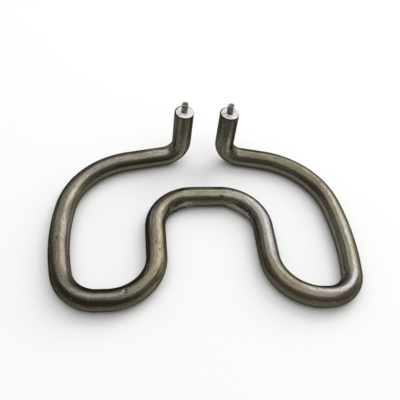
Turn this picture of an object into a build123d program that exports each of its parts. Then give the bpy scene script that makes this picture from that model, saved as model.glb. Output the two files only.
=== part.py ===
from build123d import *
import os

# Tubular heating element: one metal sheath tube, filled with compacted magnesia around a
# resistance coil, sealed at both ends and bent to shape after filling.
#
# Millimetres and degrees, +Z up. The bent loop lies flat on the ground plane with its two
# lobes towards -Y and its crossbar along X, and both legs stand up at the back. The origin
# is on the ground, under the middle of the whole part.

# ---------------------------------------------------------------- sizes that can be set

# Sheath tube
tube_diameter = 8.0
tube_wall = 0.6
tube_edge_round = 0.2

# Straight runs between the bends
crossbar_run = 10.5
left_inner_run = 13.0
left_front_run = 3.5
left_rear_run = 15.5
right_inner_run = 14.5
right_front_run = 1.5
right_rear_run = 10.0
leg_run = 16.0

# Bends: radius of the centreline, and the angle through which it turns. Each lobe's outer
# side is one long shallow bend between its outer and its rear bend.
arch_bend_radius = 16.0
inner_bend_radius = 18.0
left_outer_bend_radius = 13.0
right_outer_bend_radius = 11.0
left_side_radius = 83.0
right_side_radius = 109.0
rear_bend_radius = 31.5
leg_bend_radius = 7.5
lobe_bend_angle = 90.0
left_outer_bend_angle = 79.0
right_outer_bend_angle = 81.0
left_side_angle = 22.0
right_side_angle = 18.0
left_rear_bend_angle = 67.0
right_rear_bend_angle = 69.0
leg_bend_angle = 90.0

# Terminal pins: how far each stands out of the tube, and how far it reaches into it
pin_diameter = 2.5
pin_projection = 4.3
pin_depth = 36.0
pin_tip_chamfer = 0.25

# Resistance coil, close wound, with its end turns gripping the inner ends of the pins
coil_wire_diameter = 0.4
coil_grip_length = 6.0

# End seals
seal_depth = 7.0

# ---------------------------------------------------------------- sizes that follow

tube_bore = tube_diameter - 2 * tube_wall
coil_diameter = pin_diameter + 2 * coil_wire_diameter

# ---------------------------------------------------------------- centreline


def bend_half(side, flat_steps):
    """Edges of half the centreline, from the middle of the crossbar to the tip of the pin.

    side is 1 for the right half and -1 for the left one. Each flat step is the length of a
    straight run, or the radius and angle of a bend, in the order in which the tube takes them.
    """
    edges = []
    place, heading = Vector(0, 0, 0), Vector(side, 0, 0)
    for step in flat_steps:
        if isinstance(step, tuple):
            radius, angle = step
            edge = JernArc(place, heading, radius, side * angle)
        else:
            edge = Line(place, place + heading * step)
        edges.append(edge)
        place, heading = edge @ 1, edge % 1

    upright = Plane(origin=place, x_dir=heading, z_dir=heading.cross(Vector(0, 0, 1)))
    leg_turn = upright * JernArc((0, 0), (1, 0), leg_bend_radius, leg_bend_angle)
    leg_end = leg_turn @ 1 + (leg_turn % 1) * (leg_run + pin_projection)
    return edges + [leg_turn, Line(leg_turn @ 1, leg_end)]


def bend_centreline():
    """The centreline as one wire, from the tip of the left pin to that of the right pin."""
    right_half = bend_half(
        1,
        [
            crossbar_run / 2,
            (arch_bend_radius, -lobe_bend_angle),
            right_inner_run,
            (inner_bend_radius, lobe_bend_angle),
            right_front_run,
            (right_outer_bend_radius, right_outer_bend_angle),
            (right_side_radius, right_side_angle),
            (rear_bend_radius, right_rear_bend_angle),
            right_rear_run,
        ],
    )
    left_half = bend_half(
        -1,
        [
            crossbar_run / 2,
            (arch_bend_radius, -lobe_bend_angle),
            left_inner_run,
            (inner_bend_radius, lobe_bend_angle),
            left_front_run,
            (left_outer_bend_radius, left_outer_bend_angle),
            (left_side_radius, left_side_angle),
            (rear_bend_radius, left_rear_bend_angle),
            left_rear_run,
        ],
    )
    wire = Wire(right_half + left_half)
    extent = wire.bounding_box()
    middle = extent.center()
    return wire.translate((-middle.X, -middle.Y, tube_diameter / 2 - extent.min.Z))


centreline = bend_centreline()

# Stations are distances along the centreline from the tip of the left pin. The element is
# the same from both ends, so each right-hand station is measured back from the other tip.
tube_start = pin_projection
seal_end = tube_start + seal_depth
pin_end = tube_start + pin_depth
coil_start = pin_end - coil_grip_length


def from_right(station):
    """The station at the same distance from the tip of the right pin."""
    return centreline.length - station


def round_stock(diameter, start, end, bore=0):
    """Round bar, or tube with a bore, that follows the centreline between two stations."""
    path = centreline.trim(start / centreline.length, end / centreline.length)
    section = Circle(diameter / 2)
    if bore:
        section -= Circle(bore / 2)
    return sweep(Plane(origin=path @ 0, z_dir=path % 0) * section, path=path)


# ---------------------------------------------------------------- pieces


def make_sheath():
    """The bent sheath tube, with the outer edge of both cut ends broken."""
    tube = round_stock(tube_diameter, tube_start, from_right(tube_start), bore=tube_bore)
    cut_ends = tube.faces().filter_by(GeomType.PLANE)
    outer_edges = [cut_end.outer_wire().edge() for cut_end in cut_ends]
    return fillet(outer_edges, tube_edge_round)


def make_pin(start, end):
    """One terminal pin, chamfered round its outer tip."""
    pin = round_stock(pin_diameter, start, end)
    tip = pin.faces().filter_by(GeomType.PLANE).sort_by(Axis.Z)[-1]
    return chamfer(tip.edges(), pin_tip_chamfer)


def make_seal(start, end):
    """One cast end seal: it fills the tube round the pin, flush with the tube's end."""
    return round_stock(tube_bore, start, end, bore=pin_diameter)


def make_coil():
    """The resistance coil's close turns, as the sleeve that they fill."""
    return round_stock(coil_diameter, coil_start, from_right(coil_start), bore=pin_diameter)


def make_fill(pins, coil):
    """The compacted magnesia: all that is left of the bore between the two end seals."""
    return round_stock(tube_bore, seal_end, from_right(seal_end)) - pins - coil


left_pin = make_pin(0, pin_end)
right_pin = make_pin(from_right(pin_end), centreline.length)
coil = make_coil()

parts = {
    "sheath": make_sheath(),
    "left_terminal_pin": left_pin,
    "right_terminal_pin": right_pin,
    "left_end_seal": make_seal(tube_start, seal_end),
    "right_end_seal": make_seal(from_right(seal_end), from_right(tube_start)),
    "resistance_coil": coil,
    "magnesia_fill": make_fill([left_pin, right_pin], coil),
}

os.makedirs("parts", exist_ok=True)
for name, part in parts.items():
    export_step(part, f"parts/{name}.step")
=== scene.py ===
"""Looks of a tubular heating element: a bent steel sheath with cement seals and terminal pins.

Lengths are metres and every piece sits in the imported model's own frame. The sheath and the pins are pushed
and bent ring by ring along the same line as the solids they stand for.
"""

import logging
import math
import random
from dataclasses import dataclass, field, replace
from enum import Enum
from functools import reduce

import bpy
from mathutils import Matrix, Vector, kdtree


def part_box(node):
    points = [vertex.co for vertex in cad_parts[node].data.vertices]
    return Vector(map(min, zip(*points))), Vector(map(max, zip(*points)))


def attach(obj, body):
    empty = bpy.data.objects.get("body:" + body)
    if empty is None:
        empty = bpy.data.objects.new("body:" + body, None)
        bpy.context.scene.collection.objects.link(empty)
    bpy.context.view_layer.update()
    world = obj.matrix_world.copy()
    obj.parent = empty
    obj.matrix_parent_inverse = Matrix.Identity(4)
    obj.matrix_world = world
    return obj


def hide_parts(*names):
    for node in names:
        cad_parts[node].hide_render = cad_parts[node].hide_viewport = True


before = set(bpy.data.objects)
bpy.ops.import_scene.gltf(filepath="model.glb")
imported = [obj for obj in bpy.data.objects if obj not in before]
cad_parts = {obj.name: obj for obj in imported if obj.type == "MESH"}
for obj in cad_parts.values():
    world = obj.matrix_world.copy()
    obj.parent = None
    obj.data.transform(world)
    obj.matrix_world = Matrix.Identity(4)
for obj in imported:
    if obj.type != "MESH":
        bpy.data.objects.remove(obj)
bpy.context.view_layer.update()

MM = 0.001
UP = Vector((0.0, 0.0, 1.0))
BODY = "root"
STREAK_DETAIL = 4.0

log = logging.getLogger("heating_element")

Socket = bpy.types.NodeSocket
Triple = tuple[float, float, float]
Colour = Triple
Stops = tuple[tuple[float, Colour], ...]
# The low and high ends of a value's range, and what the value is made at each: 0 and 1 if not given.
Limits = tuple[float, ...]
# A relief's depth, and its strength from 0 to 1.
Relief = tuple[float, float]
Surface = dict[str, Socket | float | tuple]

# How a patch fades outwards, by the square of the distance from its middle in half lengths and widths.
PATCH_BORDER: Limits = (0.6, 1.4, 1.0, 0.0)


# ---------------------------------------------------------------- node work


@dataclass(frozen=True)
class Grain:
    """A noise: its scale, detail and roughness, and a scale for the third axis alone."""

    per_metre: float
    detail: float = 3.0
    roughness: float = 0.55
    stretch: float = 1.0


@dataclass(frozen=True)
class Streaks:
    """Drawn streaks: their scale, and a scale for the third axis alone."""

    per_metre: float
    stretch: float


@dataclass(frozen=True)
class Specks:
    """Scattered specks: cells to the metre, a speck's reach in its cell, and the share of cells with one."""

    per_metre: float
    reach: float
    share: float


@dataclass(frozen=True)
class Patch:
    """Where a patch lies on the tube, with its strength: another tint, a painted highlight or painted shade.

    The lean is the angle in degrees from the tube's top towards the right of the walk from the left end.
    """

    distance: float
    lean: float
    half_length: float
    half_width: float
    strength: float


class NodeBench:
    """A node tree with short calls for adding nodes, setting their sockets and linking them."""

    # sockets of a Mix node that mixes colours
    FACTOR, FIRST, SECOND, MIXED = 0, 6, 7, 2
    # where a ramp's new stop is put, before it goes to its place
    RAMP_MIDDLE = 0.5

    def __init__(self, tree: bpy.types.NodeTree) -> None:
        """Starts on a tree and empties it."""
        self.tree = tree
        self.tree.nodes.clear()

    def add(self, kind: str, inputs: dict | None = None, **settings) -> bpy.types.Node:
        """Adds a node.

        Args:
            kind: the node's type name.
            inputs: socket name or index, with the value to set or the output to link.
            settings: the node's own properties.

        Returns:
            The new node.
        """
        node = self.tree.nodes.new(kind)
        for name, value in settings.items():
            setattr(node, name, value)
        for socket, value in (inputs or {}).items():
            if isinstance(value, Socket):
                self.tree.links.new(value, node.inputs[socket])
            else:
                node.inputs[socket].default_value = value
        return node

    def math(self, operation: str, *values: Socket | float) -> Socket:
        """Returns the result of a Math node on two values."""
        return self.add("ShaderNodeMath", dict(enumerate(values)), operation=operation).outputs[0]

    def product(self, *values: Socket | float) -> Socket:
        """Returns the product of all the values."""
        return reduce(lambda first, second: self.math("MULTIPLY", first, second), values)

    def total(self, *values: Socket | float) -> Socket:
        """Returns the sum of all the values."""
        return reduce(lambda first, second: self.math("ADD", first, second), values)

    def span(self, value: Socket, low: float, high: float, start: float = 0.0, end: float = 1.0) -> Socket:
        """Maps a range of a value smoothly to another.

        Args:
            value: the socket to map.
            low: the value that gives start.
            high: the value that gives end.
            start: the output at low.
            end: the output at high.

        Returns:
            The mapped value's socket.
        """
        limits = {"Value": value, "From Min": low, "From Max": high, "To Min": start, "To Max": end}
        return self.add("ShaderNodeMapRange", limits, interpolation_type="SMOOTHSTEP").outputs[0]

    @staticmethod
    def rgba(colour: Socket | Colour) -> Socket | tuple[float, ...]:
        """Adds an alpha to a plain colour, and passes a socket through."""
        return (*colour, 1.0) if isinstance(colour, tuple) else colour

    def mix(self, factor: Socket | float, first: Socket | Colour, second: Socket | Colour,
            blend: str = "MIX") -> Socket:
        """Mixes two colours.

        Args:
            factor: share of the second colour.
            first: the colour below.
            second: the colour on top.
            blend: the blend mode.

        Returns:
            The mixed colour's socket.
        """
        wanted = {self.FACTOR: factor, self.FIRST: self.rgba(first), self.SECOND: self.rgba(second)}
        return self.add("ShaderNodeMix", wanted, data_type="RGBA", blend_type=blend).outputs[self.MIXED]

    def cover(self, colour: Socket | Colour, tint: Colour, value: Socket, limits: Limits) -> Socket:
        """Returns the colour with a tint over it, as far as the value and its limits say."""
        return self.mix(self.span(value, *limits), colour, tint)

    def ramp(self, value: Socket, stops: Stops) -> Socket:
        """Colours a value by a few stops.

        Args:
            value: the socket to colour.
            stops: positions with their colours.

        Returns:
            The colour's socket.
        """
        node = self.add("ShaderNodeValToRGB", {0: value})
        elements = node.color_ramp.elements
        while len(elements) < len(stops):
            elements.new(self.RAMP_MIDDLE)
        for element, (position, colour) in zip(elements, stops):
            element.position = position
            element.color = self.rgba(colour)
        return node.outputs[0]

    def stretched(self, vector: Socket, scale: Triple) -> Socket:
        """Returns the vector scaled on each axis."""
        return self.add("ShaderNodeMapping", {"Vector": vector, "Scale": scale}).outputs[0]

    def noise(self, vector: Socket, grain: Grain) -> Socket:
        """Lays a noise.

        Args:
            vector: where on the surface it is read.
            grain: its make-up.

        Returns:
            The noise value's socket.
        """
        if grain.stretch != 1.0:
            vector = self.stretched(vector, (1.0, 1.0, grain.stretch))
        wanted = {"Scale": grain.per_metre, "Detail": grain.detail, "Roughness": grain.roughness}
        return self.add("ShaderNodeTexNoise", {"Vector": vector, **wanted}).outputs["Fac"]

    def bump(self, height: Socket, depth: float, strength: float) -> Socket:
        """Returns the normal of a surface with the given relief."""
        wanted = {"Strength": strength, "Distance": depth, "Height": height}
        return self.add("ShaderNodeBump", wanted).outputs[0]


@dataclass(frozen=True)
class Effect:
    """A node group that several finishes share: its name, its inputs, and its one output, a value."""

    name: str
    vectors: tuple[str, ...]
    values: tuple[str, ...]
    output: str

    def begin(self) -> tuple[NodeBench, dict[str, Socket], Socket]:
        """Makes the empty group.

        Returns:
            The group's bench, its inputs by name, and its output.
        """
        group = bpy.data.node_groups.new(self.name, "ShaderNodeTree")
        for label in self.vectors:
            group.interface.new_socket(label, in_out="INPUT", socket_type="NodeSocketVector")
        for label in self.values:
            group.interface.new_socket(label, in_out="INPUT", socket_type="NodeSocketFloat")
        group.interface.new_socket(self.output, in_out="OUTPUT", socket_type="NodeSocketFloat")
        bench = NodeBench(group)
        given = bench.add("NodeGroupInput").outputs
        made = bench.add("NodeGroupOutput").inputs[self.output]
        return bench, {label: given[label] for label in self.vectors + self.values}, made


def speckle_group() -> bpy.types.NodeTree:
    """Makes the effect of small scattered pits and flecks.

    Returns:
        The group, which puts out a mask: 1 in a fleck and 0 between.
    """
    effect = Effect("scattered_specks", ("Vector",), ("Per Metre", "Reach", "Share"), "Mask")
    bench, given, mask = effect.begin()
    cell = bench.add("ShaderNodeTexVoronoi", {"Vector": given["Vector"], "Scale": given["Per Metre"]})
    spot = bench.math("LESS_THAN", cell.outputs["Distance"], given["Reach"])
    channels = bench.add("ShaderNodeSeparateColor", {0: cell.outputs["Color"]})
    chosen = bench.math("LESS_THAN", channels.outputs[0], given["Share"])
    bench.tree.links.new(bench.product(spot, chosen), mask)
    return bench.tree


def drawn_group() -> bpy.types.NodeTree:
    """Makes the effect of drawn metal: fine streaks along the third axis of its vector.

    Returns:
        The group, which puts out a streak value about 0.5.
    """
    effect = Effect("drawn_streaks", ("Vector",), ("Per Metre", "Stretch"), "Streak")
    bench, given, streak = effect.begin()
    factors = bench.add("ShaderNodeCombineXYZ", {0: 1.0, 1: 1.0, 2: given["Stretch"]}).outputs[0]
    along = bench.add("ShaderNodeVectorMath", {0: given["Vector"], 1: factors}, operation="MULTIPLY")
    lines = bench.add("ShaderNodeTexNoise", {
        "Vector": along.outputs[0],
        "Scale": given["Per Metre"],
        "Detail": STREAK_DETAIL,
    })
    bench.tree.links.new(lines.outputs["Fac"], streak)
    return bench.tree


def patch_group() -> bpy.types.NodeTree:
    """Makes the effect of one patch with a ragged border, placed by two coordinates.

    Returns:
        The group, which puts out a mask: 1 in the patch and 0 round it.
    """
    at_point = ("Place", "Lean", "Raggedness")
    of_patch = ("Middle Place", "Middle Lean", "Half Length", "Half Width")
    bench, given, mask = Effect("ragged_patch", (), at_point + of_patch, "Mask").begin()
    along = bench.math("SUBTRACT", given["Place"], given["Middle Place"])
    along = bench.math("DIVIDE", along, given["Half Length"])
    across = bench.math("SUBTRACT", given["Lean"], given["Middle Lean"])
    across = bench.math("DIVIDE", across, given["Half Width"])
    reach = bench.total(bench.product(along, along), bench.product(across, across), given["Raggedness"])
    bench.tree.links.new(bench.span(reach, *PATCH_BORDER), mask)
    return bench.tree


@dataclass
class Effects:
    """The shared node groups, each made once."""

    specks: bpy.types.NodeTree = field(default_factory=speckle_group)
    drawn: bpy.types.NodeTree = field(default_factory=drawn_group)
    patch: bpy.types.NodeTree = field(default_factory=patch_group)


class MaterialBench(NodeBench):
    """A material's node tree, in which the shared effects can be placed."""

    def __init__(self, material: bpy.types.Material, effects: Effects) -> None:
        """Starts on a material and empties it."""
        super().__init__(material.node_tree)
        self.effects = effects

    def place(self, group: bpy.types.NodeTree, inputs: dict) -> Socket:
        """Returns the output of a shared group on the given inputs."""
        return self.add("ShaderNodeGroup", inputs, node_tree=group).outputs[0]

    def specks(self, vector: Socket, specks: Specks) -> Socket:
        """Returns the mask of scattered specks."""
        wanted = {"Per Metre": specks.per_metre, "Reach": specks.reach, "Share": specks.share}
        return self.place(self.effects.specks, {"Vector": vector, **wanted})

    def streaks(self, vector: Socket, streaks: Streaks) -> Socket:
        """Returns the value of drawn streaks."""
        wanted = {"Vector": vector, "Per Metre": streaks.per_metre, "Stretch": streaks.stretch}
        return self.place(self.effects.drawn, wanted)


# ---------------------------------------------------------------- finishes


@dataclass(frozen=True)
class Finish:
    """A procedural finish. Each kind lays its own surface."""

    name: str

    def material(self, effects: Effects) -> bpy.types.Material:
        """Builds the material.

        Args:
            effects: the shared node groups.

        Returns:
            The finished material.
        """
        material = bpy.data.materials.new(self.name)
        material.use_nodes = True
        bench = MaterialBench(material, effects)
        shader = bench.add("ShaderNodeBsdfPrincipled", self.surface(bench))
        bench.add("ShaderNodeOutputMaterial", {0: shader.outputs[0]})
        return material

    def surface(self, bench: MaterialBench) -> Surface:
        """Lays the finish's nodes.

        Args:
            bench: the material's bench.

        Returns:
            The values of the shader's inputs.
        """
        raise NotImplementedError


class SheathSkin:
    """What the sheath's finish reads at a point of the tube: where it is, and the textures there."""

    def __init__(self, bench: MaterialBench, finish: "OxidisedSteel") -> None:
        """Lays the nodes that the finish's layers share.

        Args:
            bench: the material's bench.
            finish: the finish that sizes the textures.
        """
        self.bench = bench
        self.straight = bench.add("ShaderNodeAttribute", attribute_name=Sheath.STRAIGHT).outputs["Vector"]
        self.outward = bench.add("ShaderNodeAttribute", attribute_name=Sheath.OUTWARD).outputs["Vector"]
        section = bench.add("ShaderNodeSeparateXYZ", {0: self.straight})
        towards_top, towards_right, self.place = section.outputs
        self.facing_right = bench.add("ShaderNodeSeparateXYZ", {0: self.outward}).outputs[0]
        self.height = bench.math("DIVIDE", towards_top, finish.tube_radius)
        self.lean = bench.math("ARCTAN2", towards_right, towards_top)
        from_right_end = bench.math("SUBTRACT", finish.sheath_length, self.place)
        self.from_end = bench.math("MINIMUM", self.place, from_right_end)
        self.blotches = bench.noise(self.straight, finish.blotches)
        self.warmth = bench.noise(self.straight, finish.warmth)
        self.mottle = bench.noise(self.straight, finish.mottle)
        self.grit = bench.noise(self.straight, finish.grit)
        self.streaks = bench.streaks(self.straight, finish.streaks)
        self.scores = bench.streaks(self.straight, finish.scores)
        self.rag = bench.span(self.mottle, *finish.rag)

    def patch(self, patch: Patch) -> Socket:
        """Places one patch.

        Args:
            patch: where it lies.

        Returns:
            The mask's socket, already at the patch's strength.
        """
        wanted = {
            "Place": self.place,
            "Lean": self.lean,
            "Raggedness": self.rag,
            "Middle Place": patch.distance,
            "Middle Lean": math.radians(patch.lean),
            "Half Length": patch.half_length,
            "Half Width": math.radians(patch.half_width),
        }
        return self.bench.product(self.bench.place(self.bench.effects.patch, wanted), patch.strength)


@dataclass(frozen=True)
class OxidisedSteel(Finish):
    """Heat-tinted sheath steel: zones of tints and painted shade, drawn streaks, painted shade on the flanks
    and underside, patches of tint, painted highlights and painted shade, pits and dull legs.
    """

    sheath_length: float
    tube_radius: float

    olive: Colour = (0.225, 0.214, 0.173)
    brown: Colour = (0.15, 0.127, 0.1)
    pale: Colour = (0.345, 0.334, 0.298)
    rose: Colour = (0.31, 0.258, 0.222)
    # sooty marks, and the painted shade of the flanks and of the shade patches
    soot_and_painted_shade: Colour = (0.045, 0.038, 0.026)
    # the painted shade of the underside, and a streak tint on the legs
    belly: Colour = (0.15, 0.138, 0.1)
    rust: Colour = (0.15, 0.112, 0.073)
    violet: Colour = (0.235, 0.222, 0.238)
    dull_dark: Colour = (0.085, 0.085, 0.07)
    # also the colour of the painted highlight line down each leg
    worn: Colour = (0.52, 0.42, 0.3)
    # the colour of painted glints and painted highlights
    painted_glint: Colour = (0.5, 0.48, 0.43)
    # dark pits, the painted shade in the dents and crease lines, and the darker cut ends
    pit_and_painted_shade: Colour = (0.02, 0.018, 0.013)
    edge_tint: Colour = (0.3, 0.3, 0.3)

    # textures
    blotches: Grain = Grain(130.0, stretch=0.3)
    warmth: Grain = Grain(210.0, 2.0, stretch=0.25)
    mottle: Grain = Grain(1500.0, 5.0, 0.7, 0.3)
    grit: Grain = Grain(3000.0, 4.0, 0.65)
    flecks: Grain = Grain(2000.0, 3.0, 0.6, 0.45)
    streaks: Streaks = Streaks(900.0, 0.06)
    scores: Streaks = Streaks(2300.0, 0.05)
    pits: Specks = Specks(800.0, 0.17, 0.3)
    glints: Specks = Specks(1150.0, 0.2, 0.22)

    # the loop's tints, by texture
    tint_stops: Triple = (0.34, 0.5, 0.66)
    rose_by_warmth: Limits = (0.52, 0.68, 0.0, 0.45)
    brown_by_streaks: Limits = (0.46, 0.68, 0.0, 0.5)
    soot_by_scores: Limits = (0.5, 0.68, 0.0, 0.5)
    soot_by_mottle: Limits = (0.5, 0.7, 0.0, 0.45)

    # painted shade on the flanks and underside, by height in the section, which the streaks make ragged
    height_by_streaks: float = 0.25
    flank_top: Limits = (0.92, 0.7)
    flank_foot: Limits = (0.12, 0.45)
    flank_by_facing: Limits = (0.2, 0.7, 0.72, 0.3)
    underside: Limits = (0.6, 0.3)

    # dull legs, by distance from the nearer end, which the blotches make ragged
    distance_by_blotches: float = 14.0 * MM
    leg_reach: Limits = (24.0 * MM, 38.0 * MM, 1.0, 0.0)
    leg_cover: float = 0.9
    leg_belly_by_streaks: Limits = (0.4, 0.6)
    leg_rust_by_warmth: Limits = (0.45, 0.62, 0.0, 0.2)
    leg_soot_by_mottle: Limits = (0.5, 0.66, 0.0, 0.6)

    # the painted highlight line down each leg, and the scale at its foot
    leg_highlight_side: Triple = (0.25, -0.97, 0.0)
    leg_highlight_by_side: Limits = (0.965, 0.998)
    leg_highlight_by_mottle: Limits = (0.44, 0.56)
    leg_highlight_by_distance: Limits = (5.0 * MM, 11.0 * MM, 0.1, 1.0)
    leg_highlight_by_flecks: Limits = (0.47, 0.55, 0.25, 1.0)
    scale_by_flecks: Limits = (0.47, 0.39)
    scale_by_distance: Limits = (9.0 * MM, 15.0 * MM, 0.0, 0.4)

    # patches, rims and specks
    rag: Limits = (0.3, 0.7, -0.7, 0.7)
    # the flecks of the painted highlights
    painted_highlight_by_mottle: Limits = (0.4, 0.6, 0.35, 1.0)
    painted_highlight_by_grit: Limits = (0.35, 0.6, 0.4, 1.0)
    rim_by_distance: Limits = (0.25 * MM, 0.9 * MM, 0.85, 0.0)
    pit_cover: float = 0.65
    glint_by_leg: Limits = (0.0, 1.0, 0.3, 0.75)

    # sheen and relief
    roughness: Limits = (0.3, 0.7, 0.18, 0.34)
    leg_roughness: float = 0.1
    score_height: float = 0.7
    grit_height: float = 0.5
    pit_height: float = -0.7
    relief: Relief = (0.06 * MM, 0.5)

    # tint and painted shade of each stretch of the tube, by share of its length
    zones: Stops = (
        (0.08, (1.0, 1.0, 1.0)),
        (0.15, (0.7, 0.69, 0.67)),
        (0.21, (1.0, 0.95, 0.9)),
        (0.27, (0.84, 0.81, 0.77)),
        (0.31, (0.48, 0.49, 0.48)),
        (0.345, (0.6, 0.6, 0.58)),
        (0.385, (1.0, 0.96, 0.8)),
        (0.45, (1.0, 0.96, 0.9)),
        (0.52, (0.9, 0.91, 0.84)),
        (0.58, (0.74, 0.76, 0.72)),
        (0.66, (0.8, 0.75, 0.68)),
        (0.71, (0.84, 0.81, 0.82)),
        (0.8, (0.84, 0.85, 0.78)),
        (0.88, (0.82, 0.84, 0.76)),
        (0.93, (1.0, 0.97, 0.88)),
    )
    # patches of painted highlight, flecked
    painted_highlights: tuple[Patch, ...] = (
        Patch(194.5 * MM, 80.0, 4.6 * MM, 9.0, 0.75),
        Patch(226.5 * MM, 90.0, 11.0 * MM, 17.0, 0.4),
        Patch(100.0 * MM, 18.0, 24.0 * MM, 8.0, 0.45),
        Patch(236.0 * MM, -2.0, 16.0 * MM, 22.0, 0.3),
        Patch(139.3 * MM, -3.0, 0.6 * MM, 7.0, 0.3),
        Patch(312.0 * MM, 4.0, 26.0 * MM, 11.0, 0.3),
        Patch(129.5 * MM, 7.0, 10.0 * MM, 9.0, 0.45),
    )
    tempered: tuple[Patch, ...] = (
        Patch(238.0 * MM, -26.0, 16.0 * MM, 40.0, 0.6),
        Patch(285.0 * MM, 2.0, 12.0 * MM, 26.0, 0.65),
        Patch(351.0 * MM, 24.0, 18.0 * MM, 14.0, 0.5),
        Patch(100.0 * MM, -40.0, 26.0 * MM, 10.0, 0.3),
        Patch(190.0 * MM, -30.0, 12.0 * MM, 20.0, 0.35),
    )
    stains: tuple[Patch, ...] = (
        Patch(270.0 * MM, 34.0, 22.0 * MM, 26.0, 0.6),
        Patch(300.0 * MM, 40.0, 10.0 * MM, 24.0, 0.45),
        Patch(70.0 * MM, -40.0, 14.0 * MM, 16.0, 0.4),
        Patch(330.0 * MM, -24.0, 22.0 * MM, 16.0, 0.4),
    )
    # patches of painted shade: dark bands laid into the colour
    painted_shades: tuple[Patch, ...] = (
        Patch(137.0 * MM, -38.0, 19.0 * MM, 24.0, 0.8),
        Patch(64.0 * MM, 38.0, 14.0 * MM, 14.0, 0.5),
        Patch(169.0 * MM, -60.0, 19.0 * MM, 24.0, 0.6),
        Patch(92.0 * MM, 1.0, 22.0 * MM, 4.0, 0.5),
        Patch(101.0 * MM, 38.0, 30.0 * MM, 24.0, 0.5),
        Patch(127.0 * MM, 40.0, 16.0 * MM, 24.0, 0.5),
        Patch(241.0 * MM, 37.0, 14.0 * MM, 9.0, 0.5),
        Patch(316.0 * MM, -38.0, 30.0 * MM, 9.0, 0.5),
    )
    # patches of painted shade in the dents, crease lines and nicks
    painted_crease_shades: tuple[Patch, ...] = (
        Patch(190.5 * MM, 106.0, 6.0 * MM, 6.0, 0.9),
        Patch(186.0 * MM, 58.0, 2.4 * MM, 5.0, 0.5),
        Patch(224.0 * MM, 72.0, 7.0 * MM, 4.0, 0.7),
        Patch(232.0 * MM, 108.0, 7.0 * MM, 4.5, 0.8),
        Patch(140.3 * MM, -5.0, 0.4 * MM, 7.0, 0.9),
        Patch(97.7 * MM, 10.0, 0.45 * MM, 6.0, 0.7),
        Patch(165.7 * MM, -8.0, 0.4 * MM, 5.0, 0.7),
        Patch(162.2 * MM, 16.0, 0.4 * MM, 5.0, 0.7),
        Patch(211.3 * MM, 44.0, 0.6 * MM, 5.0, 0.7),
        Patch(84.4 * MM, -30.0, 5.0 * MM, 10.0, 0.5),
    )
    # patches where the painted shade of the flanks is taken away
    unshaded_flanks: tuple[Patch, ...] = (
        Patch(311.0 * MM, -78.0, 34.0 * MM, 40.0, 0.85),
        Patch(98.0 * MM, -66.0, 26.0 * MM, 30.0, 0.6),
        Patch(366.0 * MM, -55.0, 24.0 * MM, 38.0, 0.5),
        Patch(225.0 * MM, 58.0, 14.0 * MM, 30.0, 0.3),
    )

    def surface(self, bench: MaterialBench) -> Surface:
        """Lays the steel's nodes.

        Args:
            bench: the material's bench.

        Returns:
            The values of the shader's inputs.
        """
        skin = SheathSkin(bench, self)
        ragged = bench.total(skin.from_end, bench.product(skin.blotches, self.distance_by_blotches))
        leg = bench.span(ragged, *self.leg_reach)
        colour = bench.mix(bench.product(leg, self.leg_cover), self.loop_tints(skin), self.leg_tints(skin))
        colour = self.patched(skin, colour)
        # darker at the cut ends
        colour = bench.cover(colour, self.pit_and_painted_shade, skin.from_end, self.rim_by_distance)
        pits = bench.specks(skin.straight, self.pits)
        colour = bench.mix(bench.product(pits, self.pit_cover), colour, self.pit_and_painted_shade)
        # painted glints: bright specks, more of them on the legs
        glints = bench.specks(skin.straight, self.glints)
        colour = bench.mix(bench.product(glints, bench.span(leg, *self.glint_by_leg)), colour, self.painted_glint)
        rough = bench.total(bench.span(skin.mottle, *self.roughness), bench.product(leg, self.leg_roughness))
        height = bench.total(
            bench.product(skin.scores, self.score_height),
            bench.product(skin.grit, self.grit_height),
            bench.product(pits, self.pit_height),
        )
        return {
            "Base Color": colour,
            "Metallic": 1.0,
            "Roughness": rough,
            "Specular Tint": bench.rgba(self.edge_tint),
            "Normal": bench.bump(height, *self.relief),
        }

    def loop_tints(self, skin: SheathSkin) -> Socket:
        """Colours the loop: its tints and zones, with painted shade on its underside and its flanks.

        Args:
            skin: what is read at a point of the tube.

        Returns:
            The colour's socket.
        """
        bench = skin.bench
        stops = tuple(zip(self.tint_stops, (self.brown, self.olive, self.pale)))
        colour = bench.cover(bench.ramp(skin.blotches, stops), self.rose, skin.warmth, self.rose_by_warmth)
        zones = bench.ramp(bench.math("DIVIDE", skin.place, self.sheath_length), self.zones)
        colour = bench.mix(1.0, colour, zones, "MULTIPLY")
        colour = bench.cover(colour, self.brown, skin.streaks, self.brown_by_streaks)
        colour = bench.cover(colour, self.soot_and_painted_shade, skin.scores, self.soot_by_scores)
        colour = bench.cover(colour, self.soot_and_painted_shade, skin.mottle, self.soot_by_mottle)
        height = bench.total(skin.height, bench.product(skin.streaks, self.height_by_streaks))
        # painted shade on the flanks, by height in the section and by facing
        flank_shade = bench.product(
            bench.span(height, *self.flank_top),
            bench.span(height, *self.flank_foot),
            bench.span(skin.facing_right, *self.flank_by_facing),
            *(bench.math("SUBTRACT", 1.0, skin.patch(unshaded)) for unshaded in self.unshaded_flanks),
        )
        # painted shade on the underside
        colour = bench.cover(colour, self.belly, height, self.underside)
        return bench.mix(flank_shade, colour, self.soot_and_painted_shade)

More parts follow.
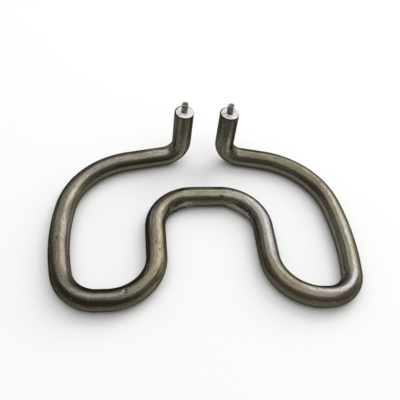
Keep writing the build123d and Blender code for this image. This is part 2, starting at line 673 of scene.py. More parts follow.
    def leg_tints(self, skin: SheathSkin) -> Socket:
        """Colours the legs: dark oxide with rust and sooty marks, a painted highlight line, and scale at the
        foot.

        Args:
            skin: what is read at a point of the tube.

        Returns:
            The colour's socket.
        """
        bench = skin.bench
        colour = bench.cover(self.dull_dark, self.belly, skin.streaks, self.leg_belly_by_streaks)
        colour = bench.cover(colour, self.rust, skin.warmth, self.leg_rust_by_warmth)
        colour = bench.cover(colour, self.soot_and_painted_shade, skin.mottle, self.leg_soot_by_mottle)
        flecks = bench.noise(skin.straight, self.flecks)
        scaled = bench.product(
            bench.span(flecks, *self.scale_by_flecks),
            bench.span(skin.from_end, *self.scale_by_distance),
        )
        directions = {0: skin.outward, 1: self.leg_highlight_side}
        towards_side = bench.add("ShaderNodeVectorMath", directions, operation="DOT_PRODUCT").outputs["Value"]
        # a painted highlight line down the side of each leg that faces the given direction
        leg_highlight = bench.product(
            bench.span(towards_side, *self.leg_highlight_by_side),
            bench.span(skin.mottle, *self.leg_highlight_by_mottle),
            bench.span(skin.from_end, *self.leg_highlight_by_distance),
            bench.span(flecks, *self.leg_highlight_by_flecks),
        )
        return bench.mix(leg_highlight, bench.mix(scaled, colour, self.worn), self.worn)

    def patched(self, skin: SheathSkin, colour: Socket) -> Socket:
        """Lays the patches over a colour: flecked painted highlights first, and the other tints and the
        painted shade on them.

        Args:
            skin: what is read at a point of the tube.
            colour: what they are laid on.

        Returns:
            The colour's socket.
        """
        bench = skin.bench
        flecked = bench.product(
            bench.span(skin.mottle, *self.painted_highlight_by_mottle),
            bench.span(skin.grit, *self.painted_highlight_by_grit),
        )
        for highlight in self.painted_highlights:
            colour = bench.mix(bench.product(skin.patch(highlight), flecked), colour, self.painted_glint)
        layers = (
            (self.tempered, self.violet),
            (self.stains, self.rust),
            (self.painted_shades, self.soot_and_painted_shade),
            (self.painted_crease_shades, self.pit_and_painted_shade),
        )
        for patches, tint in layers:
            for patch in patches:
                colour = bench.mix(skin.patch(patch), colour, tint)
        return colour


@dataclass(frozen=True)
class PinSteel(Finish):
    """Dull terminal steel, banded round the pin, with painted light on the head's rim, painted shade in its
    low spots, and worn and darker rings on the body.
    """

    # stain, and the painted shade in the pin's low spots
    stain_and_shade: Colour = (0.08, 0.073, 0.058)
    worn: Colour = (0.3, 0.28, 0.25)
    # bright metal: painted highlight on the head's rim, and wear on the body
    bare_and_highlight: Colour = (0.6, 0.58, 0.54)
    stains: Grain = Grain(1300.0, 4.0, 0.65)
    bands: Streaks = Streaks(2200.0, 1.0)
    band_scale: Triple = (0.2, 0.2, 1.0)
    worn_by_texture: Limits = (0.85, 1.2)
    bright_by_light_and_wear: Limits = (0.5, 1.0, 0.0, 0.85)
    dark_by_light_and_wear: Limits = (0.5, 0.0, 0.0, 0.85)
    roughness: Limits = (0.3, 0.7, 0.38, 0.6)
    relief: Relief = (0.06 * MM, 0.4)

    def surface(self, bench: MaterialBench) -> Surface:
        """Lays the pin's nodes.

        Args:
            bench: the material's bench.

        Returns:
            The values of the shader's inputs.
        """
        here = bench.add("ShaderNodeTexCoord").outputs["Object"]
        bands = bench.streaks(bench.stretched(here, self.band_scale), self.bands)
        stain = bench.noise(here, self.stains)
        light_and_wear = bench.add("ShaderNodeAttribute", attribute_name=TerminalPin.LIGHT_AND_WEAR).outputs["Fac"]
        colour = bench.cover(self.stain_and_shade, self.worn, bench.total(bands, stain), self.worn_by_texture)
        # painted highlight and wear where the mark is high, painted shade and stain where it is low
        colour = bench.cover(colour, self.bare_and_highlight, light_and_wear, self.bright_by_light_and_wear)
        return {
            "Base Color": bench.cover(colour, self.stain_and_shade, light_and_wear, self.dark_by_light_and_wear),
            "Metallic": 1.0,
            "Roughness": bench.span(stain, *self.roughness),
            "Normal": bench.bump(bands, *self.relief),
        }


@dataclass(frozen=True)
class SealCement(Finish):
    """White kiln cement: matt, grainy, with grey soiled patches and a few pores."""

    white: Colour = (0.85, 0.845, 0.81)
    grey: Colour = (0.42, 0.415, 0.395)
    pore: Colour = (0.2, 0.19, 0.17)
    soil: Grain = Grain(700.0, 4.0, 0.65)
    grit: Grain = Grain(2600.0, 5.0, 0.7)
    pores: Specks = Specks(1500.0, 0.2, 0.12)
    pore_cover: float = 0.6
    grey_by_soil: Limits = (0.47, 0.62, 0.0, 0.75)
    roughness: Limits = (0.3, 0.7, 0.8, 0.95)
    relief: Relief = (0.15 * MM, 0.7)

    def surface(self, bench: MaterialBench) -> Surface:
        """Lays the cement's nodes.

        Args:
            bench: the material's bench.

        Returns:
            The values of the shader's inputs.
        """
        here = bench.add("ShaderNodeTexCoord").outputs["Object"]
        grit = bench.noise(here, self.grit)
        colour = bench.cover(self.white, self.grey, bench.noise(here, self.soil), self.grey_by_soil)
        pores = bench.product(bench.specks(here, self.pores), self.pore_cover)
        return {
            "Base Color": bench.mix(pores, colour, self.pore),
            "Roughness": bench.span(grit, *self.roughness),
            "Normal": bench.bump(grit, *self.relief),
        }


@dataclass(frozen=True)
class ResistanceWire(Finish):
    """Bright resistance wire with a thin grey oxide and drawing lines."""

    bright: Colour = (0.52, 0.49, 0.44)
    oxide: Colour = (0.2, 0.2, 0.19)
    film: Grain = Grain(700.0)
    lines: Streaks = Streaks(4000.0, 0.3)
    oxide_by_film: Limits = (0.4, 0.65)
    roughness: Limits = (0.3, 0.7, 0.28, 0.45)
    relief: Relief = (0.02 * MM, 0.2)

    def surface(self, bench: MaterialBench) -> Surface:
        """Lays the wire's nodes.

        Args:
            bench: the material's bench.

        Returns:
            The values of the shader's inputs.
        """
        here = bench.add("ShaderNodeTexCoord").outputs["Object"]
        film = bench.noise(here, self.film)
        return {
            "Base Color": bench.cover(self.bright, self.oxide, film, self.oxide_by_film),
            "Metallic": 1.0,
            "Roughness": bench.span(film, *self.roughness),
            "Normal": bench.bump(bench.streaks(here, self.lines), *self.relief),
        }


@dataclass(frozen=True)
class Magnesia(Finish):
    """Compacted magnesia powder: off-white, matt and finely granular."""

    powder: Colour = (0.74, 0.72, 0.67)
    packed: Colour = (0.6, 0.58, 0.53)
    grains: Grain = Grain(3000.0, 6.0, 0.7)
    clumps: Grain = Grain(500.0)
    specks: Specks = Specks(2400.0, 0.2, 0.1)
    speck_cover: float = 0.4
    packed_by_clumps: Limits = (0.4, 0.65)
    roughness: Limits = (0.3, 0.7, 0.85, 1.0)
    relief: Relief = (0.06 * MM, 0.45)

    def surface(self, bench: MaterialBench) -> Surface:
        """Lays the powder's nodes.

        Args:
            bench: the material's bench.

        Returns:
            The values of the shader's inputs.
        """
        here = bench.add("ShaderNodeTexCoord").outputs["Object"]
        grains = bench.noise(here, self.grains)
        colour = bench.cover(self.powder, self.packed, bench.noise(here, self.clumps), self.packed_by_clumps)
        specks = bench.product(bench.specks(here, self.specks), self.speck_cover)
        return {
            "Base Color": bench.mix(specks, colour, self.packed),
            "Roughness": bench.span(grains, *self.roughness),
            "Normal": bench.bump(grains, *self.relief),
        }


# ---------------------------------------------------------------- bending and pushing


class Side(Enum):
    """The object's two ends."""

    LEFT = "left"
    RIGHT = "right"


class Turn(Enum):
    """Which way a bend goes for someone who walks along the tube."""

    LEVEL = "level"
    LEFT = "left"
    RIGHT = "right"
    UP = "up"


@dataclass(frozen=True)
class Run:
    """A straight stretch of tube."""

    length: float


@dataclass(frozen=True)
class Bend:
    """A bend with its radius at the tube's middle line and its angle in degrees."""

    radius: float
    angle: float
    turn: Turn

    @property
    def length(self) -> float:
        """Length of the bend's middle line."""
        return self.radius * math.radians(self.angle)


@dataclass(frozen=True)
class Station:
    """A place along the tube: how far it is from the start, its middle, and its directions."""

    distance: float
    middle: Vector
    travel: Vector
    top: Vector

    @property
    def right(self) -> Vector:
        """The direction to the right of the travel."""
        return self.travel.cross(self.top)

    def outward(self, lean: float) -> Vector:
        """Returns the direction out of the tube at an angle in radians from its top towards its right."""
        return self.top * math.cos(lean) + self.right * math.sin(lean)


@dataclass(frozen=True)
class BendingProgramme:
    """The element's runs and bends, which the sheath and both pins follow."""

    leg: Run = Run(16.0 * MM)
    leg_bend: Bend = Bend(7.5 * MM, 90.0, Turn.LEVEL)
    left_rear: Run = Run(15.5 * MM)
    left_rear_bend: Bend = Bend(31.5 * MM, 67.0, Turn.LEFT)
    left_side: Bend = Bend(83.0 * MM, 22.0, Turn.LEFT)
    left_outer: Bend = Bend(13.0 * MM, 79.0, Turn.LEFT)
    left_front: Run = Run(3.5 * MM)
    inner_bend: Bend = Bend(18.0 * MM, 90.0, Turn.LEFT)
    left_inner: Run = Run(13.0 * MM)
    arch_bend: Bend = Bend(16.0 * MM, 90.0, Turn.RIGHT)
    crossbar: Run = Run(10.5 * MM)
    right_inner: Run = Run(14.5 * MM)
    right_front: Run = Run(1.5 * MM)
    right_outer: Bend = Bend(11.0 * MM, 81.0, Turn.LEFT)
    right_side: Bend = Bend(109.0 * MM, 18.0, Turn.LEFT)
    right_rear_bend: Bend = Bend(31.5 * MM, 69.0, Turn.LEFT)
    right_rear: Run = Run(10.0 * MM)

    def steps(self) -> list[Run | Bend]:
        """Lists the whole programme.

        Returns:
            Every run and bend, from the left end to the right end.
        """
        return [
            self.leg, self.leg_bend, self.left_rear, self.left_rear_bend, self.left_side, self.left_outer,
            self.left_front, self.inner_bend, self.left_inner, self.arch_bend, self.crossbar, self.arch_bend,
            self.right_inner, self.inner_bend, self.right_front, self.right_outer, self.right_side,
            self.right_rear_bend, self.right_rear, replace(self.leg_bend, turn=Turn.UP), self.leg,
        ]

    def length(self) -> float:
        """Returns the sheath's whole length."""
        return sum(step.length for step in self.steps())

    def rear_heading(self, side: Side) -> Vector:
        """Finds the way that the rear run leaves a leg.

        Args:
            side: which leg.

        Returns:
            A level unit vector.
        """
        if side is Side.LEFT:
            turned = self.left_rear_bend.angle + self.left_side.angle + self.left_outer.angle
            heading = math.radians(-turned)
        else:
            turned = self.right_rear_bend.angle + self.right_side.angle + self.right_outer.angle
            heading = math.radians(turned - 180.0)
        return Vector((math.cos(heading), math.sin(heading), 0.0))


class Bender:
    """Pushes a ring of edges along the tube's line and swings it through bends in edit mode."""

    MERGE = 0.001 * MM

    def __init__(self, name: str, middle: Vector, radius: float, side: Side, programme: BendingProgramme,
                 segments: int, pitch: float) -> None:
        """Lays the first ring level on a leg's axis, ready to go down.

        Args:
            name: the new piece's name.
            middle: the ring's middle.
            radius: the ring's radius.
            side: which leg it starts from.
            programme: what to follow.
            segments: points round the ring.
            pitch: greatest distance between rings.
        """
        bpy.ops.object.select_all(action="DESELECT")
        bpy.ops.mesh.primitive_circle_add(vertices=segments, radius=radius, location=middle)
        bpy.ops.object.transform_apply(location=True, rotation=True, scale=True)
        self.piece = bpy.context.object
        self.piece.name = name
        self.piece.data.name = name
        self.pitch = pitch
        self.rear_heading = programme.rear_heading(side)
        self.stations = [Station(0.0, middle.copy(), -UP, self.rear_heading.copy())]
        bpy.ops.object.mode_set(mode="EDIT")
        bpy.ops.mesh.select_all(action="SELECT")

    @property
    def here(self) -> Station:
        """The ring's present station."""
        return self.stations[-1]

    def push(self, run: Run) -> None:
        """Extrudes the ring straight on.

        Args:
            run: how far.
        """
        count = max(1, math.ceil(run.length / self.pitch))
        step = run.length / count
        for _ in range(count):
            now = self.here
            bpy.ops.mesh.extrude_region_move(TRANSFORM_OT_translate={"value": now.travel * step})
            self.stations.append(
                Station(now.distance + step, now.middle + now.travel * step, now.travel, now.top)
            )

    def towards(self, turn: Turn) -> Vector:
        """Finds the direction from the ring's middle to the centre of a bend.

        Args:
            turn: which way the bend goes.

        Returns:
            A unit vector.
        """
        now = self.here
        return {
            Turn.LEVEL: self.rear_heading,
            Turn.UP: UP,
            Turn.LEFT: UP.cross(now.travel),
            Turn.RIGHT: now.travel.cross(UP),
        }[turn].normalized()

    def swing(self, bend: Bend) -> None:
        """Spins the ring through a bend.

        Args:
            bend: its radius, angle and way.
        """
        now = self.here
        inward = self.towards(bend.turn)
        axis = now.travel.cross(inward)
        centre = now.middle + inward * bend.radius
        count = max(2, math.ceil(bend.length / self.pitch))
        angle = math.radians(bend.angle)
        # The spin operator turns the other way round its axis.
        bpy.ops.mesh.spin(steps=count, angle=-angle, center=centre, axis=axis)
        for number in range(1, count + 1):
            turned = Matrix.Rotation(angle * number / count, 3, axis)
            self.stations.append(
                Station(
                    now.distance + bend.length * number / count,
                    centre + turned @ (now.middle - centre),
                    turned @ now.travel,
                    turned @ now.top,
                )
            )

    def follow(self, steps: list[Run | Bend]) -> None:
        """Goes through runs and bends in order.

        Args:
            steps: the runs and bends.
        """
        for step in steps:
            if isinstance(step, Run):
                self.push(step)
            else:
                self.swing(step)

    def step_out(self, radius_ratio: float, drop: float) -> None:
        """Extrudes the ring once with a new radius.

        Args:
            radius_ratio: new radius over the present one.
            drop: how far it also goes down the leg.
        """
        bpy.ops.mesh.extrude_region_move(TRANSFORM_OT_translate={"value": -UP * drop})
        now = self.here
        middle = now.middle - UP * drop
        bpy.ops.transform.resize(value=(radius_ratio, radius_ratio, 1.0), center_override=middle)
        self.stations.append(Station(now.distance + drop, middle, now.travel, now.top))

    def cap(self) -> None:
        """Closes the present ring with a face."""
        bpy.ops.mesh.edge_face_add()

    def leave(self) -> bpy.types.Object:
        """Ends the edit, with no doubled points and all faces pointing outwards.

        Returns:
            The piece.
        """
        bpy.ops.mesh.select_all(action="SELECT")
        bpy.ops.mesh.remove_doubles(threshold=self.MERGE)
        bpy.ops.mesh.normals_make_consistent(inside=False)
        bpy.ops.mesh.select_all(action="DESELECT")
        bpy.ops.object.mode_set(mode="OBJECT")
        return self.piece


def push_selected(move: Vector, reach: float) -> None:
    """Pushes the active piece's selected points, and less and less of the skin round them.

    Args:
        move: how far and which way.
        reach: how far off the push still tells.
    """
    bpy.ops.object.mode_set(mode="EDIT")
    bpy.ops.transform.translate(
        value=move, use_proportional_edit=True, proportional_edit_falloff="SMOOTH",
        proportional_size=reach, use_proportional_connected=True,
    )
    bpy.ops.mesh.select_all(action="DESELECT")
    bpy.ops.object.mode_set(mode="OBJECT")


def push_point(piece: bpy.types.Object, spot: Vector, move: Vector, reach: float) -> None:
    """Pushes the skin round the point nearest to a spot.

    Args:
        piece: the active mesh object.
        spot: where to push.
        move: how far and which way.
        reach: how far off the push still tells.
    """
    chosen = min(piece.data.vertices, key=lambda vertex: (vertex.co - spot).length_squared)
    chosen.select = True
    push_selected(move, reach)


# ---------------------------------------------------------------- pieces


class Assembly:
    """What every sub-assembly has: a piece that stands for one solid, with a finish."""

    SHARP_ANGLE = math.radians(40.0)

    piece: bpy.types.Object

    def dress(self, material: bpy.types.Material) -> None:
        """Gives the piece its only material, and smooth shading with crisp sharp edges.

        Args:
            material: the finish.
        """
        self.piece.data.materials.clear()
        self.piece.data.materials.append(material)
        bpy.ops.object.select_all(action="DESELECT")
        self.piece.select_set(True)
        bpy.context.view_layer.objects.active = self.piece
        bpy.ops.object.shade_smooth_by_angle(angle=self.SHARP_ANGLE)

    def carry(self, node: str, slot: str) -> None:
        """Makes the piece ride on the body in place of a solid, and reports it.

        Args:
            node: the solid that it stands for.
            slot: not used.
        """
        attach(self.piece, BODY)
        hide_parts(node)
        log.info("%s: %d faces, in place of %s", self.piece.name, len(self.piece.data.polygons), node)


def seal_place(side: Side) -> tuple[Vector, float]:
    """Finds where an end seal lies.

    Args:
        side: which end.

    Returns:
        The middle of the seal's top, and its depth.
    """
    low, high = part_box(f"{side.value}_end_seal")
    return Vector(((low.x + high.x) / 2, (low.y + high.y) / 2, high.z)), high.z - low.z


@dataclass(frozen=True)
class Dent:
    """A push on the tube's skin, at one point or along a stretch.

    The lean is the angle in degrees from the tube's top towards the right of the walk from the left end, and
    a positive depth goes inwards. The stretch is the distance along the tube that is pushed evenly.
    """

    distance: float
    lean: float
    depth: float
    reach: float
    stretch: float = 0.0


@dataclass
class Sheath(Assembly):
    """The bent steel tube."""

    programme: BendingProgramme
    outer_radius: float = 4.0 * MM
    wall: float = 0.6 * MM
    edge_round: float = 0.2 * MM
    segments: int = 56
    pitch: float = 0.68 * MM
    unevenness: float = 0.07 * MM
    waver_size: float = 7.0 * MM
    dents: tuple[Dent, ...] = (
        # the flattened and crumpled inner side of the left arch bend
        Dent(190.0 * MM, 62.0, 0.4 * MM, 2.4 * MM, 9.0 * MM),
        Dent(193.5 * MM, 104.0, -0.5 * MM, 2.6 * MM, 8.0 * MM),
        Dent(186.0 * MM, 84.0, 0.15 * MM, 2.0 * MM, 4.0 * MM),
        Dent(191.5 * MM, 98.0, 0.5 * MM, 1.3 * MM, 6.0 * MM),
        Dent(197.5 * MM, 80.0, 0.3 * MM, 1.0 * MM, 3.0 * MM),
        # the same of the right arch bend
        Dent(222.0 * MM, 66.0, 0.35 * MM, 2.2 * MM, 9.0 * MM),
        Dent(221.0 * MM, 108.0, -0.45 * MM, 2.6 * MM, 8.0 * MM),
        Dent(217.5 * MM, 88.0, 0.4 * MM, 1.0 * MM, 3.0 * MM),
        Dent(223.0 * MM, 96.0, 0.4 * MM, 1.0 * MM, 4.0 * MM),
        Dent(228.5 * MM, 90.0, 0.4 * MM, 1.0 * MM, 3.0 * MM),
        # a nick in the left lobe, and small pits
        Dent(139.9 * MM, -4.0, 0.5 * MM, 0.8 * MM, 0.8 * MM),
        Dent(138.0 * MM, 4.0, -0.2 * MM, 0.9 * MM),
        Dent(97.7 * MM, 10.0, 0.25 * MM, 0.8 * MM),
        Dent(165.7 * MM, -8.0, 0.2 * MM, 0.7 * MM),
        Dent(162.2 * MM, 16.0, 0.2 * MM, 0.7 * MM),
        Dent(211.3 * MM, 44.0, 0.3 * MM, 0.9 * MM),
    )

    STRAIGHT = "straight"
    OUTWARD = "outward"

    def build(self) -> None:
        """Bends the skin, dents it, gives it its wall and marks it."""
        start, _ = seal_place(Side.LEFT)
        bender = Bender("sheath_tube", start, self.outer_radius, Side.LEFT, self.programme,
                        self.segments, self.pitch)
        bender.follow(self.programme.steps())
        self.stations = bender.stations
        self.piece = bender.leave()
        self.roughen()
        self.skin = kdtree.KDTree(len(self.piece.data.vertices))
        for vertex in self.piece.data.vertices:
            self.skin.insert(vertex.co, vertex.index)
        self.skin.balance()
        for dent in self.dents:
            self.push_skin(dent)
        self.thicken()
        self.round_ends()
        self.mark_straight()

    def nearest(self, distance: float) -> Station:
        """Returns the station nearest to a distance from the left end."""
        return min(self.stations, key=lambda station: abs(station.distance - distance))

    def roughen(self) -> None:
        """Takes a little off the skin unevenly, so that reflections waver as on drawn and bent tube."""
        waver = bpy.data.textures.new("tube_waver", "CLOUDS")
        waver.noise_scale = self.waver_size
        waver.noise_depth = 1
        uneven = self.piece.modifiers.new("uneven", "DISPLACE")
        uneven.texture = waver
        uneven.texture_coords = "LOCAL"
        uneven.strength = self.unevenness
        uneven.mid_level = 1.0
        self.apply("uneven")

    def apply(self, modifier: str) -> None:
        """Applies a modifier of the sheath by name."""
        bpy.context.view_layer.objects.active = self.piece
        bpy.ops.object.modifier_apply(modifier=modifier)

    def push_skin(self, dent: Dent) -> None:
        """Pushes the skin in or out at a point or along a stretch.

        Args:
            dent: where, how deep and how far it reaches.
        """
        lean = math.radians(dent.lean)
        reach = dent.stretch / 2 + self.pitch / 2
        pushed = [station for station in self.stations if abs(station.distance - dent.distance) < reach]
        for station in pushed:
            spot = station.middle + station.outward(lean) * self.outer_radius
            _, number, _ = self.skin.find(spot)
            self.piece.data.vertices[number].select = True
        push_selected(self.nearest(dent.distance).outward(lean) * -dent.depth, dent.reach)

    def thicken(self) -> None:
        """Gives the skin its wall, inwards."""
        solid = self.piece.modifiers.new("wall", "SOLIDIFY")
        solid.thickness = self.wall
        solid.offset = -1.0
        self.apply("wall")

    def on_rim(self, point: Vector) -> bool:
        """Tells whether a point of the wall lies on the outer edge of a cut end.

        Args:
            point: the place.

        Returns:
            True if it does.
        """
        ends = (self.stations[0].middle, self.stations[-1].middle)
        off_axis = min((point.xy - end.xy).length for end in ends)
        return abs(point.z - ends[0].z) < self.wall / 4 and off_axis > self.outer_radius - self.wall / 2

    def round_ends(self) -> None:
        """Rounds the outer edge of both cut ends."""
        mesh = self.piece.data
        for edge in mesh.edges:
            edge.select = all(self.on_rim(mesh.vertices[number].co) for number in edge.vertices)
        bpy.ops.object.mode_set(mode="EDIT")
        bpy.ops.mesh.select_mode(type="EDGE")
        bpy.ops.mesh.bevel(offset=self.edge_round, segments=3)
        bpy.ops.mesh.select_all(action="DESELECT")
        bpy.ops.mesh.select_mode(type="VERT")
        bpy.ops.object.mode_set(mode="OBJECT")

    def mark_straight(self) -> None:
        """Writes which way each point faces, and where it was before bending.

        The second is its place in the section with its distance along the tube.
        """
        tree = kdtree.KDTree(len(self.stations))
        for number, station in enumerate(self.stations):
            tree.insert(station.middle, number)
        tree.balance()
        outward = self.piece.data.attributes.new(self.OUTWARD, "FLOAT_VECTOR", "POINT")
        for vertex, value in zip(self.piece.data.vertices, outward.data):
            value.vector = vertex.normal
        mark = self.piece.data.attributes.new(self.STRAIGHT, "FLOAT_VECTOR", "POINT")
        for vertex, value in zip(self.piece.data.vertices, mark.data):
            _, number, _ = tree.find(vertex.co)
            station = self.stations[number]
            offset = vertex.co - station.middle
            value.vector = (
                offset.dot(station.top),
                offset.dot(station.right),
                station.distance + offset.dot(station.travel),
            )


@dataclass(frozen=True)
class Blow:
    """A push on a pin's head: its place from the middle of the tip and its move, in millimetres."""

    place: Triple
    move: Triple
    reach: float


@dataclass
class TerminalPin(Assembly):
    """A cold pin: a burred, sheared head over a necked ring, a plain body, and a shank round the leg's bend.

    Each of the rings is a radius, its depth below the tip and how bright its metal is made, for painted light
    and shade on the head and for wear and stain on the body: the dished top, the burr, the head, the neck,
    the ring under it and the body down to the cement. The blows lower one shoulder of each head, and put a
    cleft across the left one.
    """

    side: Side
    programme: BendingProgramme
    depth: float = 36.0 * MM
    dish_radius: float = 0.4 * MM
    dish_depth: float = 0.22 * MM
    rings: tuple[tuple[float, float, float], ...] = (
        (0.6 * MM, 0.22 * MM, 0.6),
        (0.95 * MM, 0.16 * MM, 0.35),
        (1.15 * MM, 0.03 * MM, 0.9),
        (1.28 * MM, 0.0 * MM, 1.0),
        (1.37 * MM, 0.12 * MM, 0.7),
        (1.37 * MM, 0.6 * MM, 0.45),
        (1.3 * MM, 0.85 * MM, 0.1),
        (1.18 * MM, 1.0 * MM, 0.0),
        (1.26 * MM, 1.2 * MM, 0.2),
        (1.32 * MM, 1.6 * MM, 0.7),
        (1.28 * MM, 1.95 * MM, 0.3),
        (1.32 * MM, 2.4 * MM, 0.6),
        (1.3 * MM, 3.2 * MM, 0.5),
        (1.25 * MM, 3.9 * MM, 0.35),
    )
    blows: dict[Side, tuple[Blow, ...]] = field(default_factory=lambda: {
        Side.LEFT: (
            Blow((-1.1, 0.3, 0.0), (0.05, 0.0, -0.45), 0.9 * MM),
            Blow((-0.35, -0.75, 0.0), (0.0, 0.1, -0.5), 0.5 * MM),
            Blow((-0.2, 0.6, 0.0), (0.0, 0.0, -0.4), 0.45 * MM),
            Blow((0.6, -1.15, -0.6), (0.0, 0.18, -0.1), 0.7 * MM),
        ),
        Side.RIGHT: (
            Blow((-1.2, -0.3, 0.0), (0.05, 0.0, -0.25), 0.9 * MM),
            Blow((0.5, -1.0, 0.0), (0.0, 0.05, -0.22), 0.6 * MM),
            Blow((0.1, -1.35, -1.5), (0.0, 0.12, 0.0), 0.6 * MM),
        ),
    })
    segments: int = 48
    pitch: float = 0.6 * MM

    # the mark of how bright each point is made: painted light and shade on the head, wear and stain on the
    # body
    LIGHT_AND_WEAR = "light_and_wear"

    def build(self) -> None:
        """Turns the tip, bends the shank, marks the painted light and the wear, and shears the head."""
        seal_top, _ = seal_place(self.side)
        tip_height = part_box(f"{self.side.value}_terminal_pin")[1].z
        tip = Vector((seal_top.x, seal_top.y, tip_height))
        bender = Bender(f"{self.side.value}_pin", tip - UP * self.dish_depth, self.dish_radius, self.side,
                        self.programme, self.segments, self.pitch)
        bender.cap()
        radius, depth = self.dish_radius, self.dish_depth
        for next_radius, next_depth, _ in self.rings:
            bender.step_out(next_radius / radius, next_depth - depth)
            radius, depth = next_radius, next_depth
        leg, leg_bend = self.programme.leg, self.programme.leg_bend
        bender.push(Run(bender.here.middle.z - seal_top.z + leg.length))
        bender.swing(leg_bend)
        bender.push(Run(self.depth - leg.length - leg_bend.length))
        bender.cap()
        self.piece = bender.leave()
        self.mark_light_and_wear(tip)
        for blow in self.blows[self.side]:
            push_point(self.piece, tip + Vector(blow.place) * MM, Vector(blow.move) * MM, blow.reach)

    def mark_light_and_wear(self, tip: Vector) -> None:
        """Writes how bright the metal is made at each point, for painted light and shade and for wear and
        stain: 1 is bright, 0 is dark.

        Args:
            tip: the middle of the pin's tip.
        """
        mark = self.piece.data.attributes.new(self.LIGHT_AND_WEAR, "FLOAT", "POINT")
        for vertex, value in zip(self.piece.data.vertices, mark.data):
            off_axis = (vertex.co.xy - tip.xy).length
            below = tip.z - vertex.co.z
            nearest = min(self.rings, key=lambda ring: abs(ring[0] - off_axis) + abs(ring[1] - below))
            value.value = nearest[2]


@dataclass
class EndSeal(Assembly):
    """The cement plug in a tube end: its crown is smeared over the rim on one side, wavy and chipped.

    Each step of the crown is a radius with its rise above the tube's end, as a share of the crown's height.
    The lip's rises are at its border and, under it, at the bore.
    """

    side: Side
    programme: BendingProgramme
    bore_radius: float = 3.4 * MM
    pin_radius: float = 1.25 * MM
    segments: int = 96
    crown: float = 0.1 * MM
    pin_rise: float = 1.6
    lip_radius: float = 3.62 * MM
    lip_width: float = 0.15 * MM
    crown_steps: tuple[tuple[float, float], ...] = (
        (1.45 * MM, 0.9),
        (1.7 * MM, 0.6),
        (1.95 * MM, 0.9),
        (2.2 * MM, 1.1),
        (2.45 * MM, 0.9),
        (2.7 * MM, 1.2),
        (2.95 * MM, 1.1),
        (3.2 * MM, 1.0),
        (3.52 * MM, 0.7),
    )
    lip_rises: tuple[float, float] = (0.12, 0.05)
    smear: Triple = (0.2 * MM, -0.14 * MM, 0.0)
    waviness: float = 0.1 * MM
    waves: tuple[float, float] = (5.0, 11.0)
    second_wave: float = 0.7
    border_chips: float = 0.6
    crown_chips: float = 0.45
    chip_radius: float = 1.375 * MM
    seed: int = 7

    def build(self) -> None:
        """Turns the plug from the pin's hole outwards, down the bore, and back up along the pin."""
        top, depth = seal_place(self.side)
        height = top.z + self.pin_rise * self.crown
        start = Vector((top.x, top.y, height))
        bender = Bender(f"{self.side.value}_cement", start, self.pin_radius, self.side, self.programme,
                        self.segments, self.bore_radius)
        lip, seat = (rise * self.crown for rise in self.lip_rises)
        profile = (
            *((radius, rise * self.crown) for radius, rise in self.crown_steps),
            (self.lip_radius, lip),
            (self.bore_radius, seat),
            (self.bore_radius, -depth),
            (self.pin_radius, -depth),
            (self.pin_radius, height - top.z),
        )
        radius = self.pin_radius
        for next_radius, rise in profile:
            bender.step_out(next_radius / radius, height - top.z - rise)
            radius, height = next_radius, top.z + rise
        self.piece = bender.leave()
        self.smear_lip(top)

    def smear_lip(self, top: Vector) -> None:
        """Shifts the lip over the rim on one side, makes its border wavy and roughens the crown.

        Args:
            top: the middle of the tube's end.
        """
        chance = random.Random(self.seed + len(self.side.value))
        border = self.lip_radius - self.lip_width
        for vertex in self.piece.data.vertices:
            if vertex.co.z < top.z:
                continue
            off_axis = Vector((vertex.co.x - top.x, vertex.co.y - top.y, 0.0))
            if off_axis.length > border:
                turn = math.atan2(off_axis.y, off_axis.x)
                wave = math.sin(self.waves[0] * turn + self.seed)
                wave += self.second_wave * math.sin(self.waves[1] * turn)
                wave += chance.uniform(-self.border_chips, self.border_chips)
                vertex.co += Vector(self.smear) + off_axis.normalized() * (wave * self.waviness / 2)
            elif off_axis.length > self.chip_radius:
                vertex.co.z += chance.uniform(-self.crown_chips, self.crown_chips) * self.crown


# ---------------------------------------------------------------- studio


def outlook(azimuth: float, elevation: float) -> Vector:
    """Finds the direction from the object towards a lamp or the camera.

    Args:
        azimuth: degrees from the front round towards the right.
        elevation: degrees up from level.

    Returns:
        A unit vector.
    """
    turn, rise = math.radians(azimuth), math.radians(elevation)
    return Vector((math.sin(turn) * math.cos(rise), -math.cos(turn) * math.cos(rise), math.sin(rise)))


@dataclass(frozen=True)
class Softbox:
    """A rectangular lamp that points at the origin, under the object's middle."""

    name: str
    azimuth: float
    elevation: float
    distance: float
    width: float
    height: float
    level: float
    colour: Colour = (1.0, 1.0, 1.0)

    def hang(self) -> None:
        """Hangs the lamp."""
        lamp = bpy.data.lights.new(self.name, "AREA")
        lamp.shape = "RECTANGLE"
        lamp.size = self.width
        lamp.size_y = self.height
        # The level is the lamp's radiance, so its power grows with its area.
        lamp.energy = self.level * math.pi * self.width * self.height
        lamp.color = self.colour
        back = outlook(self.azimuth, self.elevation)
        holder = bpy.data.objects.new(self.name, lamp)
        holder.location = back * self.distance
        holder.rotation_euler = (-back).to_track_quat("-Z", "Y").to_euler()
        bpy.context.scene.collection.objects.link(holder)


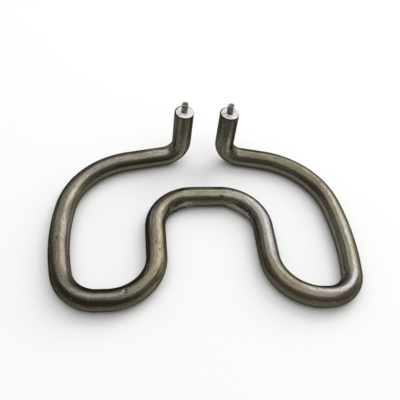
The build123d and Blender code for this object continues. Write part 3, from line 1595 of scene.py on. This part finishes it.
@dataclass
class Studio:
    """A pale floor, soft lamps and the camera."""

    floor_colour: Colour = (0.95, 0.95, 0.95)
    floor_width: float = 6.0
    floor_roughness: float = 0.95
    floor_gloss: float = 0.1
    surround: Colour = (0.33, 0.33, 0.33)
    softboxes: tuple[Softbox, ...] = (
        Softbox("top", 165.0, 82.0, 1.0, 1.4, 1.5, 1.28),
        Softbox("key", 134.0, 38.0, 1.2, 0.8, 0.8, 2.3, (1.0, 0.995, 0.985)),
        Softbox("right_fill", 112.0, 14.0, 1.2, 0.8, 0.4, 1.1, (1.0, 0.96, 0.92)),
        Softbox("left_fill", 222.0, 26.0, 1.2, 0.5, 0.4, 0.8, (0.95, 1.0, 0.97)),
    )
    camera_azimuth: float = -12.07
    camera_elevation: float = 48.96
    camera_roll: float = 8.67
    camera_distance: float = 225.52 * MM
    camera_target: Vector = field(default_factory=lambda: Vector((-0.4302, 9.9515, 4.0)) * MM)
    focal_pixels: float = 555.07
    image_pixels: float = 400.0
    sensor_width: float = 36.0
    clip_start: float = 5.0 * MM

    def build(self) -> None:
        """Lays the floor, hangs the lamps and sets up the camera and the picture's tone."""
        bpy.ops.object.select_all(action="DESELECT")
        bpy.ops.mesh.primitive_plane_add(size=self.floor_width)
        floor = bpy.context.object
        floor.name = "floor"
        floor.data.materials.append(self.floor_paint())
        for softbox in self.softboxes:
            softbox.hang()
        world = bpy.data.worlds.new("surround")
        world.use_nodes = True
        world.node_tree.nodes["Background"].inputs["Color"].default_value = (*self.surround, 1.0)
        bpy.context.scene.world = world
        bpy.context.scene.view_settings.view_transform = "Standard"
        self.set_camera()

    def floor_paint(self) -> bpy.types.Material:
        """Makes the floor's plain pale paint.

        Returns:
            The finished material.
        """
        paint = bpy.data.materials.new("floor_paint")
        paint.use_nodes = True
        principled = paint.node_tree.nodes["Principled BSDF"]
        principled.inputs["Base Color"].default_value = (*self.floor_colour, 1.0)
        principled.inputs["Roughness"].default_value = self.floor_roughness
        principled.inputs["Specular IOR Level"].default_value = self.floor_gloss
        return paint

    def set_camera(self) -> None:
        """Places the camera from its angles, distance and focal length."""
        back = outlook(self.camera_azimuth, self.camera_elevation)
        azimuth, roll = math.radians(self.camera_azimuth), math.radians(self.camera_roll)
        level = Vector((math.cos(azimuth), math.sin(azimuth), 0.0))
        rise = back.cross(level)
        across = level * math.cos(roll) + rise * math.sin(roll)
        upright = rise * math.cos(roll) - level * math.sin(roll)
        lens = bpy.data.cameras.new("camera")
        lens.sensor_width = self.sensor_width
        lens.lens = self.focal_pixels / self.image_pixels * self.sensor_width
        lens.clip_start = self.clip_start
        camera = bpy.data.objects.new("camera", lens)
        turned = Matrix((across, upright, back)).transposed().to_4x4()
        camera.matrix_world = Matrix.Translation(self.camera_target + back * self.camera_distance) @ turned
        bpy.context.scene.collection.objects.link(camera)
        bpy.context.scene.camera = camera


# ---------------------------------------------------------------- the whole element


def dress_node(name: str, material: bpy.types.Material) -> None:
    """Gives a solid that stays as packed its finish, and reports it.

    Args:
        name: the solid's node.
        material: its finish.
    """
    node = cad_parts[name]
    node.data.materials.clear()
    node.data.materials.append(material)
    log.info("%s: dressed as packed", name)


def main() -> None:
    """Builds every piece in order."""
    logging.basicConfig(level=logging.INFO, format="%(name)s: %(message)s")
    effects = Effects()
    programme = BendingProgramme()
    sheath = Sheath(programme)
    steel = OxidisedSteel("sheath_steel", programme.length(), sheath.outer_radius).material(effects)
    pin_steel = PinSteel("pin_steel").material(effects)
    cement = SealCement("seal_cement").material(effects)

    sheath.build()
    sheath.dress(steel)
    sheath.carry("sheath", "sheath_steel")

    for side in Side:
        pin = TerminalPin(side, programme)
        pin.build()
        pin.dress(pin_steel)
        pin.carry(f"{side.value}_terminal_pin", "pin_steel")
        seal = EndSeal(side, programme)
        seal.build()
        seal.dress(cement)
        seal.carry(f"{side.value}_end_seal", "seal_cement")

    dress_node("resistance_coil", ResistanceWire("coil_wire").material(effects))
    dress_node("magnesia_fill", Magnesia("magnesia").material(effects))

    Studio().build()


if __name__ == "__main__":
    main()
